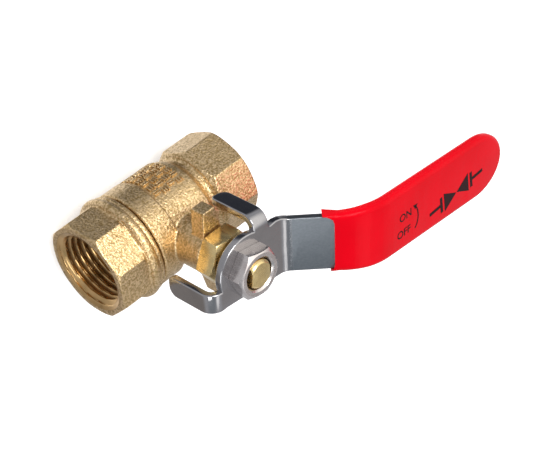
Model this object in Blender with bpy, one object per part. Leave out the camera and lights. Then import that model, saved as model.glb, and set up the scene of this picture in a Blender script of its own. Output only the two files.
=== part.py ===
"""Half-inch brass ball valve with two female threaded ends and a steel lever.

The flow axis is X, the stem axis is Z, and both cross at the centre of the ball, which is the origin.
The lever stands a few degrees short of fully open, on the turn_axis empty, and points along +X.
Every size below is in millimetres; the meshes are made in metres.
"""

import math

import bmesh
import bpy
from mathutils import Matrix, Vector

MM = 0.001
GAP = 0.3                      # clearance between neighbouring pieces

# Ends and barrel (x along the flow, r from the flow axis)
FLATS = 25.0                   # octagon across flats, both ends
X_NEAR, X_FAR = -24.0, 23.3    # the two mouth faces
X_JOINT = -10.2                # face of the body where the end connector meets it
R_RING, R_BARREL, R_WAIST = 13.3, 12.8, 11.4
R_MINOR = 9.315                # G 1/2 minor radius
R_MOUTH = 11.3                 # countersink at each mouth
SOCKET = 10.5                  # threaded depth
CONNECTOR_TURN = 3.1           # how far round its thread the end connector came to rest, degrees

# Ball, seats and passage
R_BALL, R_PORT, R_SEAT_BORE = 10.25, 6.25, 6.5
R_CAVITY, R_POCKET, X_POCKET = 10.9, 9.6, 10.3
R_SPIGOT = 10.9

# Stem, neck and packing (z up the stem, r from the stem axis)
R_STEM, R_NECK, R_BOX, R_FLANGE = 3.95, 6.4, 5.35, 5.05
Z_NECK_TOP = 21.3
LUG_TIP, LUG_LOW, LUG_HIGH = 12.7, 16.7, 21.0
GLAND_FLATS, GLAND_LOW, GLAND_TOP = 13.5, 21.6, 27.0
STEM_FLATS = 5.8               # across the two flats that drive the lever
Z_STEM_TOP = 36.3

# Lever, in its own frame, which is turned about the stem
LEVER_TURN = -8.0              # degrees short of fully open
STEEL = 2.0
Z_PLATE = 31.9                 # top face of the lever's head
BEND_1, BEND_2 = Vector((12.6, 31.9)), Vector((27.9, 46.2))
TIP_X, TIP_Z, TIP_LENGTH = 82.2, 44.8, 11.2
ARM_HALF = 8.3
NECK_HALF = 7.7
EAR_NEAR = 2.55                # ear edges that meet the stop lug
EAR_ROOT, EAR_OUT = 9.0, 12.7  # where an ear starts to bend, and its outer face
EAR_LOW = 16.9
SLEEVE_WALL = 0.5
SLEEVE_START = 20.4
NUT_FLATS, NUT_LOW, NUT_TOP = 12.0, 32.2, 36.0

AXES = {"X": Matrix(((0, 0, 1), (1, 0, 0), (0, 1, 0))), "Z": Matrix.Identity(3)}


def clear_scene():
    for obj in list(bpy.data.objects):
        bpy.data.objects.remove(obj, do_unlink=True)


def finish_mesh(name, bm):
    """Turns a bmesh in millimetres into an object in metres with outward faces."""
    bmesh.ops.recalc_face_normals(bm, faces=bm.faces)
    bmesh.ops.scale(bm, vec=(MM, MM, MM), verts=bm.verts)
    mesh = bpy.data.meshes.new(name)
    bm.to_mesh(mesh)
    bm.free()
    obj = bpy.data.objects.new(name, mesh)
    bpy.context.scene.collection.objects.link(obj)
    return obj


def turned(name, outline, axis="X", segments=40, turn=0.0):
    """Revolves a closed outline of (along, radius) points; a radius of 0 becomes a pole."""
    bm = bmesh.new()
    frame = AXES[axis]
    rings = []
    for along, radius in outline:
        count = segments if radius > 1e-6 else 1
        angles = [math.radians(turn) + 2 * math.pi * k / segments for k in range(count)]
        rings.append([bm.verts.new(frame @ Vector((radius * math.cos(a), radius * math.sin(a), along)))
                      for a in angles])
    for ring, following in zip(rings, rings[1:] + rings[:1]):
        if len(ring) == 1 and len(following) == 1:
            continue
        for k in range(segments):
            corners = [ring[k % len(ring)], ring[(k + 1) % segments % len(ring)],
                       following[(k + 1) % segments % len(following)], following[k % len(following)]]
            unique = [v for i, v in enumerate(corners) if v not in corners[:i]]
            bm.faces.new(unique)
    return finish_mesh(name, bm)


def prism(name, sides, flats, low, high, axis="X", turn=0.0):
    """A regular prism along an axis; with turn 0 a flat faces the axis's first cross direction."""
    radius = flats / 2 / math.cos(math.pi / sides)
    return turned(name, [(low, 0), (low, radius), (high, radius), (high, 0)], axis, sides,
                  turn + 180.0 / sides)


def block(name, corners, depth):
    """Extrudes a polygon of (x, y, z) corners by a depth vector."""
    bm = bmesh.new()
    near = [bm.verts.new(c) for c in corners]
    far = [bm.verts.new(Vector(c) + Vector(depth)) for c in corners]
    bm.faces.new(near)
    bm.faces.new(reversed(far))
    for i in range(len(near)):
        j = (i + 1) % len(near)
        bm.faces.new((near[i], near[j], far[j], far[i]))
    return finish_mesh(name, bm)


def box(name, low, high):
    (x0, y0, z0), (x1, y1, z1) = low, high
    return block(name, [(x0, y0, z0), (x1, y0, z0), (x1, y1, z0), (x0, y1, z0)], (0, 0, z1 - z0))


def combine(target, tool, operation):
    """Applies a Boolean to the target and removes the tool."""
    modifier = target.modifiers.new(operation, "BOOLEAN")
    modifier.operation = operation
    modifier.solver = "EXACT"
    modifier.object = tool
    view = bpy.context.evaluated_depsgraph_get()
    mesh = bpy.data.meshes.new_from_object(target.evaluated_get(view))
    target.modifiers.clear()
    target.data = mesh
    bpy.data.objects.remove(tool, do_unlink=True)
    return target


def dress(obj, colour, roughness, metallic, parent=None, sharp=32.0):
    """Gives a piece its material, smooth shading and parent."""
    material = bpy.data.materials.new(obj.name)
    material.use_nodes = True
    shader = material.node_tree.nodes["Principled BSDF"]
    shader.inputs["Base Color"].default_value = (*colour, 1.0)
    shader.inputs["Roughness"].default_value = roughness
    shader.inputs["Metallic"].default_value = metallic
    obj.data.name = obj.name
    obj.data.materials.clear()
    obj.data.materials.append(material)
    obj.data.shade_smooth()
    obj.data.set_sharp_from_angle(angle=math.radians(sharp))
    if parent:
        obj.parent = parent
    return obj


def arc(centre, radius, start, end, steps):
    """Points on a circle of (u, v), from one angle in degrees to another."""
    angles = [math.radians(start + (end - start) * i / steps) for i in range(steps + 1)]
    return [(centre[0] + radius * math.cos(a), centre[1] + radius * math.sin(a)) for a in angles]


# ---------------------------------------------------------------- pressure body

def octagon_end(name, face, back, turn):
    """An octagon whose corners are turned down at the mouth and at its back."""
    out = 1 if face > back else -1
    end = prism(name, 8, FLATS, min(face, back), max(face, back), turn=turn)
    shape = [(back, 0), (back, 12.1), (back + out * 1.6, 13.6), (face - out * 0.9, 13.6),
             (face, 12.4), (face, 0)]
    return combine(end, turned("turning", shape, segments=48), "INTERSECT")


def mouth_bore(face, inward, stop):
    """Cutter for a threaded mouth: countersink, minor diameter, then the passage to stop."""
    floor = face + inward * SOCKET
    return turned("bore", [(face - inward, 0), (face - inward, R_MOUTH), (face, R_MOUTH),
                           (face + inward * 0.9, R_MINOR), (floor, R_MINOR),
                           (floor + inward * 0.8, R_SEAT_BORE), (stop, R_SEAT_BORE), (stop, 0)])


def make_body():
    body = turned("valve_body", [
        (X_JOINT, 0), (X_JOINT, 12.9), (X_JOINT + 0.4, R_RING), (-4.1, R_RING), (-3.6, R_BARREL),
        (7.4, R_BARREL), (8.6, 12.1), (9.8, R_WAIST), (10.8, R_WAIST), (12.0, 12.2), (14.0, 12.3),
        (14.0, 0)])
    combine(body, octagon_end("octagon", X_FAR, 11.5, 22.5), "UNION")
    combine(body, turned("neck", [(6, 0), (6, R_NECK), (Z_NECK_TOP - 0.4, R_NECK),
                                  (Z_NECK_TOP, R_NECK - 0.4), (Z_NECK_TOP, 0)], "Z", 36), "UNION")
    for side in (1, -1):
        lug = [(-3.1, side * 5.6, LUG_LOW), (3.1, side * 5.6, LUG_LOW),
               (1.85, side * LUG_TIP, LUG_LOW), (-1.85, side * LUG_TIP, LUG_LOW)]
        combine(body, block("lug", lug, (0, 0, LUG_HIGH - LUG_LOW)), "UNION")
    # Far mouth, seat pocket, ball cavity and the bore that takes the end connector
    combine(body, mouth_bore(X_FAR, -1, 6.0), "DIFFERENCE")
    combine(body, turned("cavity", [
        (X_JOINT - 1, 0), (X_JOINT - 1, 12.4), (-8.7, 12.4), (-8.7, R_SPIGOT + GAP), (-4.6, R_SPIGOT + GAP),
        (-4.6, R_CAVITY), (6.9, R_CAVITY), (6.9, R_POCKET), (X_POCKET, R_POCKET), (X_POCKET, 0)]),
        "DIFFERENCE")
    # Stem hole: flange recess below, shaft hole, packing box above
    combine(body, turned("stem_hole", [
        (4, 0), (4, R_BOX), (13.5, R_BOX), (13.5, R_STEM + GAP), (14.9, R_STEM + GAP), (14.9, R_BOX),
        (Z_NECK_TOP + 1, R_BOX), (Z_NECK_TOP + 1, 0)], "Z", 32), "DIFFERENCE")
    return body


def make_connector():
    connector = turned("end_connector", [
        (-14.6, 0), (-14.6, 12.4), (-14.2, 13.7), (-13.7, 14.05), (-12.7, 14.1), (-12.2, 13.75), (-12.0, 13.4),
        (-11.75, 13.6), (-10.95, 13.55), (-10.6, 13.2), (-10.6, R_SPIGOT), (-7.0, R_SPIGOT), (-7.0, 0)])
    end = prism("octagon", 8, FLATS, X_NEAR, -13.9, turn=CONNECTOR_TURN)
    combine(end, turned("turning", [(X_NEAR, 0), (X_NEAR, 12.4), (X_NEAR + 0.9, 13.6), (-13.9, 13.6),
                                    (-13.9, 0)], segments=48), "INTERSECT")
    combine(connector, end, "UNION")
    combine(connector, mouth_bore(X_NEAR, 1, -9.0), "DIFFERENCE")
    combine(connector, turned("pocket", [(-X_POCKET, 0), (-X_POCKET, R_POCKET), (-6, R_POCKET), (-6, 0)]),
            "DIFFERENCE")
    return connector


def make_seat(name, side):
    """PTFE seat ring, hollowed to the ball's curve with a clearance."""
    hollow = R_BALL + GAP
    face = 7.2
    curve = [(math.sqrt(hollow ** 2 - r ** 2), r) for r in (R_SEAT_BORE, 7.1, math.sqrt(hollow ** 2 - face ** 2))]
    outline = curve + [(face, R_POCKET - GAP), (X_POCKET - GAP, R_POCKET - GAP), (X_POCKET - GAP, R_SEAT_BORE)]
    return turned(name, [(side * x, r) for x, r in outline])


def ring(name, low, high, inner, outer, axis="Z", segments=32):
    edge = min(0.15, (high - low) / 5)
    return turned(name, [(low, inner), (low, outer - edge), (low + edge, outer), (high - edge, outer),
                         (high, outer - edge), (high, inner)], axis, segments)


# ---------------------------------------------------------------- turning parts

def make_ball():
    reach = math.sqrt(R_BALL ** 2 - (R_PORT + 0.4) ** 2)
    limit = math.degrees(math.atan2(R_PORT + 0.4, reach))
    outline = arc((0, 0), R_BALL, 180 - limit, limit, 18)
    outline += [(reach - 0.5, R_PORT), (0.5 - reach, R_PORT)]
    ball = turned("ball", outline, segments=40)
    half = STEM_FLATS / 2 - 0.65
    return combine(ball, box("slot", (-half, -9, 7.4), (half, 9, 12)), "DIFFERENCE")


def make_stem():
    stem = turned("stem", [
        (8.6, 0), (8.6, 3.0), (10.6, R_FLANGE - 0.3), (10.6, R_FLANGE), (12.2, R_FLANGE), (12.2, R_STEM),
        (Z_STEM_TOP - 0.5, R_STEM), (Z_STEM_TOP, R_STEM - 0.5), (Z_STEM_TOP, 0)], "Z", 32)
    blade = STEM_FLATS / 2 - 0.95
    combine(stem, box("below", (-6, -6, 8), (6, 6, 10.6)), "DIFFERENCE")
    combine(stem, box("blade", (-blade, -4.3, 7.75), (blade, 4.3, 11.0)), "UNION")
    for side in (1, -1):
        flat = STEM_FLATS / 2
        low, high = sorted((side * flat, side * 6))
        combine(stem, box("flat", (low, -6, 29.4), (high, 6, 37)), "DIFFERENCE")
    return stem


def make_gland_nut():
    nut = prism("gland_nut", 6, GLAND_FLATS, GLAND_LOW, GLAND_TOP, "Z", 30.0)
    shape = [(GLAND_LOW, 0), (GLAND_LOW, 6.9), (GLAND_LOW + 0.5, 7.9), (GLAND_TOP - 1.1, 7.9), (GLAND_TOP, 6.0),
             (GLAND_TOP, 0)]
    combine(nut, turned("crown", shape, "Z", 36), "INTERSECT")
    combine(nut, turned("spigot", [(18.6, 0), (18.6, R_FLANGE), (22.0, R_FLANGE), (22.0, 0)], "Z", 32), "UNION")
    return combine(nut, turned("hole", [(18, 0), (18, R_STEM + GAP), (28, R_STEM + GAP), (28, 0)], "Z", 32),
                   "DIFFERENCE")


def make_handle_nut():
    nut = prism("handle_nut", 6, NUT_FLATS, NUT_LOW, NUT_TOP, "Z", 25.5)
    shape = [(NUT_LOW, 0), (NUT_LOW, 6.4), (NUT_LOW + 0.35, 7.0), (NUT_TOP - 0.5, 7.0), (NUT_TOP, 5.9),
             (NUT_TOP, 0)]
    combine(nut, turned("crown", shape, "Z", 36), "INTERSECT")
    hole = [(31, 0), (31, 4.7), (NUT_LOW, 4.7), (NUT_LOW + 0.45, R_STEM + GAP), (NUT_TOP - 0.45, R_STEM + GAP),
            (NUT_TOP, 4.7), (37, 4.7), (37, 0)]
    return combine(nut, turned("hole", hole, "Z", 32), "DIFFERENCE")


def fillet(before, corner, after, radius, steps):
    """Stations (point, heading) round a corner of a bent strip's top line."""
    a, b = (corner - before).normalized(), (after - corner).normalized()
    start, end = math.atan2(a.y, a.x), math.atan2(b.y, b.x)
    side = 1 if end > start else -1
    centre = corner - a * radius * math.tan(abs(end - start) / 2) + Vector((-a.y, a.x)) * side * radius
    headings = [start + (end - start) * i / steps for i in range(steps + 1)]
    return [(centre + Vector((math.sin(h), -math.cos(h))) * side * radius, h) for h in headings]


def half_width(x, full, end):
    """Half the lever's width at x: a narrow neck, a straight grip and an elliptical tip."""
    if x > end - TIP_LENGTH:
        along = min((x - end + TIP_LENGTH) / TIP_LENGTH, 0.995)
        return full * math.sqrt(1 - along ** 2)
    blend = min(max((x - 20.0) / 9.0, 0.0), 1.0)
    return NECK_HALF + (full - NECK_HALF) * blend * blend * (3 - 2 * blend)


def arm_stations(full, end, start=0.0, steps=9):
    """Stations (point, heading, low edge, high edge) of the arm, from start to its rounded tip."""
    head, tip = Vector((0, Z_PLATE)), Vector((TIP_X, TIP_Z))
    line = fillet(head, BEND_1, BEND_2, 3.5, 5) + fillet(BEND_1, BEND_2, tip, 18.0, 9)
    point, heading = line[-1]
    along = Vector((math.cos(heading), math.sin(heading)))
    reaches = [end - TIP_LENGTH * (1 - math.sin(math.pi / 2 * i / steps)) for i in range(steps + 1)]
    line += [(point + along * ((x - point.x) / along.x), heading) for x in reaches]
    widths = [(p, h, half_width(p.x, full, end)) for p, h in line if p.x >= start]
    return [(p, h, -w, w) for p, h, w in widths]


def section(bm, station, top, bottom, place):
    """The four corners of a strip's section; place turns (along, across, up) into x, y, z."""
    point, heading, low, high = station
    normal = Vector((-math.sin(heading), math.cos(heading)))
    over, under = point + normal * top, point - normal * bottom
    corners = ((over, high), (over, low), (under, low), (under, high))
    return [bm.verts.new(place(spot.x, across, spot.y)) for spot, across in corners]


def sweep(bm, rows):
    """Joins the sections of a strip and closes its far end."""
    for row, following in zip(rows, rows[1:]):
        for i in range(4):
            j = (i + 1) % 4
            bm.faces.new((row[i], row[j], following[j], following[i]))
    bm.faces.new(reversed(rows[-1]))


def strip(name, stations, top, bottom):
    bm = bmesh.new()
    rows = [section(bm, station, top, bottom, straight) for station in stations]
    bm.faces.new(rows[0])
    sweep(bm, rows)
    return finish_mesh(name, bm)


def straight(along, across, up):
    return along, across, up


def ear_stations(far_root, far):
    """A stop ear: bends down from the head's edge and ends in rounded corners."""
    root, corner, foot = Vector((0, Z_PLATE)), Vector((EAR_OUT, Z_PLATE)), Vector((EAR_OUT, EAR_LOW))
    bend = fillet(root, corner, foot, EAR_OUT - EAR_ROOT, 6)[1:]
    stations = [(p, h, EAR_NEAR, far_root + (far - far_root) * (Z_PLATE - p.y) / 10) for p, h in bend]
    down = bend[-1][1]
    stations += [(Vector((EAR_OUT, z)), down, EAR_NEAR, far) for z in (24.5, 20.0)]
    for u, v in arc((0, 0), 2.2, 0, 75, 4):
        stations.append((Vector((EAR_OUT, EAR_LOW + 2.2 - v)), down, EAR_NEAR + (2.2 - u) * 0.6, far - 2.2 + u))
    return stations


def make_lever():
    """One bent plate: a round head, the arm and two ears that leave the head's edges."""
    bm = bmesh.new()
    arm = arm_stations(ARM_HALF, TIP_X)
    start = math.degrees(math.atan2(EAR_ROOT, EAR_NEAR))
    rim = arc((0, 0), math.hypot(EAR_ROOT, EAR_NEAR), start, 270 - start, 14)
    outline = [(arm[0][0].x, -NECK_HALF), (arm[0][0].x, NECK_HALF + 0.9), (8.2, 8.5), (7.6, EAR_ROOT)] + rim
    outline.append((-EAR_ROOT, -NECK_HALF))
    over = [bm.verts.new((x, y, Z_PLATE)) for x, y in outline]
    under = [bm.verts.new((x, y, Z_PLATE - STEEL)) for x, y in outline]
    bm.faces.new(over)
    bm.faces.new(reversed(under))
    # Edge number of each strip's root, its stations, its placing, and its root's high and low corners
    back = len(outline) - 2
    roots = {0: (arm[1:], straight, 1, 0), 3: (ear_stations(7.6, 7.4), lambda u, w, z: (w, u, z), 3, 4),
             back: (ear_stations(NECK_HALF, 7.9), lambda u, w, z: (-u, -w, z), back + 1, back)}
    for i in range(len(outline)):
        j = (i + 1) % len(outline)
        if i not in roots:
            bm.faces.new((over[i], under[i], under[j], over[j]))
            continue
        stations, place, high, low = roots[i]
        first = [over[high], over[low], under[low], under[high]]
        sweep(bm, [first] + [section(bm, station, 0.0, STEEL, place) for station in stations])
    lever = finish_mesh("lever", bm)
    hole = turned("hole", [(29, 0), (29, R_STEM + GAP), (33, R_STEM + GAP), (33, 0)], "Z", 32)
    reach = STEM_FLATS / 2 + GAP
    combine(hole, box("flats", (-reach, -6, 28), (reach, 6, 34)), "INTERSECT")
    return combine(lever, hole, "DIFFERENCE")


def make_sleeve():
    out = GAP + SLEEVE_WALL
    outer = arm_stations(ARM_HALF + out, TIP_X + out, SLEEVE_START)
    inner = arm_stations(ARM_HALF + GAP, TIP_X + GAP, SLEEVE_START)
    lead, heading, low, high = inner[0]
    back = Vector((math.cos(heading), math.sin(heading))) * 3
    inner.insert(0, (lead - back, heading, low, high))
    sleeve = strip("grip_sleeve", outer, out, STEEL + out)
    return combine(sleeve, strip("core", inner, GAP, STEEL + GAP), "DIFFERENCE")


def main():
    clear_scene()
    brass, chrome, ptfe = (0.60, 0.42, 0.20), (0.62, 0.64, 0.66), (0.85, 0.85, 0.82)
    turn_axis = bpy.data.objects.new("turn_axis", None)
    turn_axis.rotation_euler = (0, 0, math.radians(LEVER_TURN))
    turn_axis.empty_display_size = 0.01
    bpy.context.scene.collection.objects.link(turn_axis)

    dress(make_body(), brass, 0.42, 1.0)
    dress(make_connector(), brass, 0.42, 1.0)
    dress(ring("joint_seal", -9.9, -9.0, R_SPIGOT + 0.35, 12.1, "X", 40), ptfe, 0.5, 0.0)
    dress(make_seat("seat_near", -1), ptfe, 0.45, 0.0)
    dress(make_seat("seat_far", 1), ptfe, 0.45, 0.0)
    bore = R_STEM + GAP
    dress(ring("thrust_washer", 12.5, 13.2, bore, R_FLANGE), ptfe, 0.45, 0.0)
    dress(ring("packing_lower", 15.2, 16.2, bore, R_FLANGE), ptfe, 0.5, 0.0)
    dress(ring("packing_upper", 16.5, 17.5, bore, R_FLANGE), ptfe, 0.5, 0.0)
    dress(ring("gland_follower", 17.8, 18.3, bore, R_FLANGE), brass, 0.35, 1.0)
    dress(make_gland_nut(), (0.78, 0.55, 0.22), 0.2, 1.0)

    dress(make_ball(), chrome, 0.06, 1.0, turn_axis)
    dress(make_stem(), (0.78, 0.58, 0.28), 0.28, 1.0, turn_axis)
    dress(make_lever(), chrome, 0.12, 1.0, turn_axis)
    dress(make_sleeve(), (0.72, 0.01, 0.015), 0.25, 0.0, turn_axis, sharp=40.0)
    dress(make_handle_nut(), (0.66, 0.61, 0.58), 0.25, 1.0, turn_axis)


main()
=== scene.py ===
"""The looks of a half-inch brass ball valve with a plated lever and a red vinyl grip.

Lengths are in millimetres and become metres when a mesh is made. x runs along the flow, z up the
stem, and the ball's centre is the origin. Pieces of the lever are made in the lever's own frame, which
is turned about the stem.
"""

import math

import bmesh
import bpy
from mathutils import Matrix, Vector


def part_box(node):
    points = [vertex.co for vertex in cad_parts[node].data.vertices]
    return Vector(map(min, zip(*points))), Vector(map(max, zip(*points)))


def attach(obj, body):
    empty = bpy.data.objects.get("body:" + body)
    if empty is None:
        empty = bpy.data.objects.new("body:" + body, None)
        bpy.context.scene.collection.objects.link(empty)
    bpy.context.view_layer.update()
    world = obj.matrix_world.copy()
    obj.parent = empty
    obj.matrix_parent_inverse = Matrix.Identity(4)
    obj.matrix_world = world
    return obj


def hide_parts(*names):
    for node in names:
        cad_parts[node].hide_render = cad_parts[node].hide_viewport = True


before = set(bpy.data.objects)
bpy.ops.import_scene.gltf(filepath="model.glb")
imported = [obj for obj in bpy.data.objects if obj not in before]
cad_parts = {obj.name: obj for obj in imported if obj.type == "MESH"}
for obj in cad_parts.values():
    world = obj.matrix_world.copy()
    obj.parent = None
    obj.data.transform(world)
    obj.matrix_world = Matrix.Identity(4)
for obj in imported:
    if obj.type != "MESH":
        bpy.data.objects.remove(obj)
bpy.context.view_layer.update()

MM = 0.001


def low(node, axis):
    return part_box(node)[0][axis] / MM


def high(node, axis):
    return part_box(node)[1][axis] / MM


# Read from the frame
X_NEAR, X_FAR = low("end_connector", 0), high("valve_body", 0)
Z_STEM_TOP = high("stem", 2)
NUT_TOP = high("handle_nut", 2)
GLAND_TOP = high("gland_nut", 2)
EAR_LOW = low("lever", 2)
R_BALL = high("ball", 2)

# Pressure body
FLATS = 25.0                    # across the flats of both octagons
R_CORNER, R_RIM = 13.6, 12.5    # octagon corners turned down, and their end face
X_JOINT = -10.2                 # where the connector's collar meets the body
X_STEP, X_BARREL_END = -3.6, 7.4
X_FAR_OCTAGON, X_NEAR_OCTAGON = 11.5, -13.9
R_RING, R_BARREL, R_WAIST = 13.35, 12.65, 11.3
R_MOUTH = 11.3                  # where the countersink meets the end face
MOUTH_LIP = 0.06                # thickness of the lining where it meets that face
R_MINOR, R_MAJOR, PITCH = 9.315, 10.478, 1.814
SOCKET = 10.5
R_PASSAGE, R_PORT = 6.5, 6.25
R_JOINT, R_SPIGOT, R_CAVITY, R_SEAT = 12.3, 11.2, 10.9, 9.6
FAR_TURN, CONNECTOR_TURN = 22.5, 3.1
R_NECK, NECK_FILLET = 6.4, 0.6
Z_NECK_TOP = 21.3
R_PACKING, R_STEM_HOLE = 5.35, 4.25
LUG_ROOT, LUG_TIP, LUG_LOW, LUG_HIGH = 5.6, 12.7, 16.7, 21.0
LUG_ROOT_HALF, LUG_TIP_HALF = 3.1, 1.85
GLAND_FLATS, GLAND_LOW, GLAND_TURN = 13.5, 21.6, 30.0
VOXEL = 0.17                    # of the forged skins
MARK_HEIGHT = 0.55

# Stem and lever
R_STEM, STEM_FLATS, STEM_PITCH = 3.95, 5.8, 1.25
STEM_CLEAR = 0.3                # round the stem, in the nuts and the lever
Z_STEM_FLATS = 29.4             # where the flats and the thread begin
Z_FOOT, Z_FLANGE, Z_SHANK, R_FLANGE = 8.6, 10.6, 12.2, 5.05
NUT_FLATS, NUT_TURN = 12.0, 25.5
LEVER_TURN = -8.0
STEEL = 2.0
Z_PLATE = 31.9
HEAD_R = 9.354
EAR_NEAR, EAR_ROOT, EAR_OUT = 2.55, 9.0, 12.7
EAR_FAR_SIDE, EAR_FAR_BACK, EAR_LIMIT = 7.4, 7.9, 8.6
BEND_1, BEND_2 = Vector((12.6, 31.9)), Vector((27.9, 46.2))
BEND_1_R, BEND_2_R = 3.5, 18.0
TIP_X, TIP_Z, TIP_LENGTH = 82.2, 44.8, 11.2
ARM_HALF, NECK_HALF = 8.3, 7.7
ARM_START = 13.6                # where the arm's straight edges begin
WIDENS_FROM, WIDENS_OVER = 24.0, 12.0
SLEEVE_WALL, SLEEVE_START, SLEEVE_ROUND = 0.75, 19.4, 1.5
INK_LIFT, INK_DEPTH = 0.012, 0.03

LEVER_FRAME = Matrix.Rotation(math.radians(LEVER_TURN), 4, "Z")
AXES = {"X": Matrix(((0, 0, 1), (1, 0, 0), (0, 1, 0))), "Z": Matrix.Identity(3)}


# ---------------------------------------------------------------- mesh helpers

def mesh_object(name, bm):
    """Turns a bmesh in millimetres into an object in metres with outward faces."""
    bmesh.ops.recalc_face_normals(bm, faces=bm.faces)
    bmesh.ops.scale(bm, vec=(MM, MM, MM), verts=bm.verts)
    mesh = bpy.data.meshes.new(name)
    bm.to_mesh(mesh)
    bm.free()
    obj = bpy.data.objects.new(name, mesh)
    bpy.context.scene.collection.objects.link(obj)
    return obj


def turned(name, outline, axis="X", segments=96, turn=0.0):
    """Revolves a closed outline of (along, radius) points; a radius of 0 becomes a pole."""
    bm = bmesh.new()
    rings = []
    for along, radius in outline:
        count = segments if radius > 1e-6 else 1
        angles = [math.radians(turn) + 2 * math.pi * k / segments for k in range(count)]
        points = [Vector((radius * math.cos(a), radius * math.sin(a), along)) for a in angles]
        rings.append([bm.verts.new(AXES[axis] @ point) for point in points])
    for ring, following in zip(rings, rings[1:] + rings[:1]):
        if len(ring) == 1 and len(following) == 1:
            continue
        for k in range(segments):
            corners = [ring[k % len(ring)], ring[(k + 1) % segments % len(ring)],
                       following[(k + 1) % segments % len(following)], following[k % len(following)]]
            bm.faces.new([v for i, v in enumerate(corners) if v not in corners[:i]])
    return mesh_object(name, bm)


def prism(name, sides, flats, start, end, axis="X", turn=0.0):
    radius = flats / 2 / math.cos(math.pi / sides)
    return turned(name, [(start, 0), (start, radius), (end, radius), (end, 0)], axis, sides,
                  turn + 180.0 / sides)


def block(name, corners, depth):
    """Extrudes a polygon of (x, y, z) corners by a depth vector."""
    bm = bmesh.new()
    near = [bm.verts.new(c) for c in corners]
    far = [bm.verts.new(Vector(c) + Vector(depth)) for c in corners]
    bm.faces.new(near)
    bm.faces.new(reversed(far))
    for i in range(len(near)):
        j = (i + 1) % len(near)
        bm.faces.new((near[i], near[j], far[j], far[i]))
    return mesh_object(name, bm)


def box(name, start, end):
    (x0, y0, z0), (x1, y1, z1) = start, end
    return block(name, [(x0, y0, z0), (x1, y0, z0), (x1, y1, z0), (x0, y1, z0)], (0, 0, z1 - z0))


def bake(obj):
    """Applies the object's modifiers to its mesh."""
    view = bpy.context.evaluated_depsgraph_get()
    mesh = bpy.data.meshes.new_from_object(obj.evaluated_get(view))
    obj.modifiers.clear()
    obj.data = mesh
    return obj


def combine(target, tool, operation):
    modifier = target.modifiers.new(operation, "BOOLEAN")
    modifier.operation = operation
    modifier.solver = "EXACT"
    modifier.object = tool
    bake(target)
    bpy.data.objects.remove(tool, do_unlink=True)
    return target


def joined(name, parts):
    """Several closed meshes in one object, still overlapping."""
    bm = bmesh.new()
    for part in parts:
        bm.from_mesh(part.data)
        bpy.data.objects.remove(part, do_unlink=True)
    mesh = bpy.data.meshes.new(name)
    bm.to_mesh(mesh)
    bm.free()
    obj = bpy.data.objects.new(name, mesh)
    bpy.context.scene.collection.objects.link(obj)
    return obj


def forged(obj, voxel, rounds):
    """Melts overlapping solids into one skin with soft inner and outer corners, as a die leaves them."""
    remesh = obj.modifiers.new("remesh", "REMESH")
    remesh.mode = "VOXEL"
    remesh.voxel_size = voxel * MM
    smooth = obj.modifiers.new("smooth", "SMOOTH")
    smooth.factor = 0.5
    smooth.iterations = rounds
    return bake(obj)


def bevelled(obj, width, segments=3, angle=30.0):
    bevel = obj.modifiers.new("bevel", "BEVEL")
    bevel.width = width * MM
    bevel.segments = segments
    bevel.limit_method = "ANGLE"
    bevel.angle_limit = math.radians(angle)
    bevel.harden_normals = False
    return bake(obj)


def piece(obj, body, material, nodes=(), sharp=35.0):
    """Finishes a visible piece: shading, material, body and the CAD nodes it stands for."""
    obj.data.name = obj.name
    obj.data.materials.clear()
    obj.data.materials.append(material)
    obj.data.shade_smooth()
    obj.data.set_sharp_from_angle(angle=math.radians(sharp))
    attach(obj, body)
    if nodes:
        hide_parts(*nodes)
    return obj


# ---------------------------------------------------------------- materials

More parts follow.
